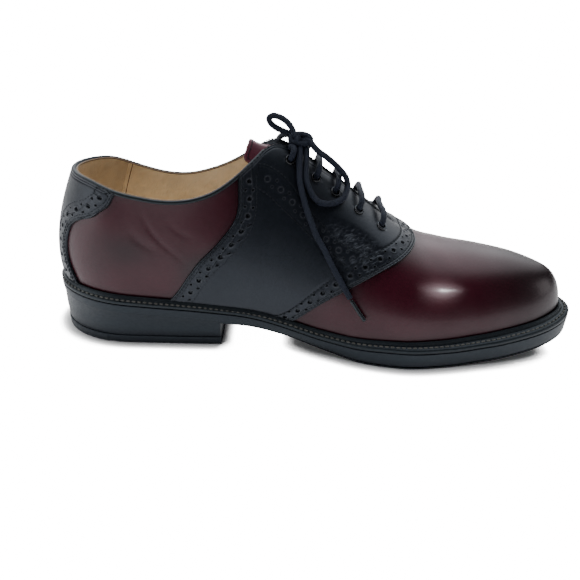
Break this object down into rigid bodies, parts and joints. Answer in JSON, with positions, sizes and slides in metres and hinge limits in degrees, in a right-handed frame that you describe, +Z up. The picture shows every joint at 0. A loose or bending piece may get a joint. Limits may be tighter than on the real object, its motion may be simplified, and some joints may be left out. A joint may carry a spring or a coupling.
{
  "type": "saddle shoe",
  "caption": "Low lace-up leather saddle shoe with a moulded heeled sole, stitched welt, contrasting saddle and counter, and a tied round lace.",
  "frame": {"origin": "on the ground at the middle of the heel's tread", "axes": "+X towards the toe, -Y towards the inner (medial) side, +Z up"},
  "size_m": [0.3054, 0.1069, 0.1259],
  "materials": {
    "burgundy_leather": "burnished smooth leather, glossy, darker at toe and edges",
    "black_leather": "polished black leather",
    "lining_leather": "matte tan lining",
    "welt_leather": "stitched black welt",
    "sole_rubber": "satin moulded rubber",
    "eyelet_metal": "black enamelled metal",
    "lace_cord": "waxed round cord",
    "aglet_plastic": "black plastic lace tip"
  },
  "bodies": {
    "root": {"outsole": "sole_rubber", "heel_block": "sole_rubber", "toplift": "sole_rubber", "welt": "welt_leather", "upper": "burgundy_leather", "saddle": "black_leather", "counter": "black_leather", "tongue": "burgundy_leather", "insole": "lining_leather", "eyelet_inner_1": "eyelet_metal", "eyelet_inner_2": "eyelet_metal", "eyelet_inner_3": "eyelet_metal", "eyelet_inner_4": "eyelet_metal", "eyelet_inner_5": "eyelet_metal", "eyelet_outer_1": "eyelet_metal", "eyelet_outer_2": "eyelet_metal", "eyelet_outer_3": "eyelet_metal", "eyelet_outer_4": "eyelet_metal", "eyelet_outer_5": "eyelet_metal", "lace_bar_2": "lace_cord", "lace_bar_3": "lace_cord", "lace_bar_4": "lace_cord", "lace_bar_5": "lace_cord", "lace_strand_inner": "lace_cord", "lace_strand_outer": "lace_cord", "lace_knot": "lace_cord", "near_loop": "lace_cord", "near_end": "lace_cord", "far_loop": "lace_cord", "far_end": "lace_cord", "near_aglet": "aglet_plastic", "far_aglet": "aglet_plastic"}
  },
  "joints": []
}
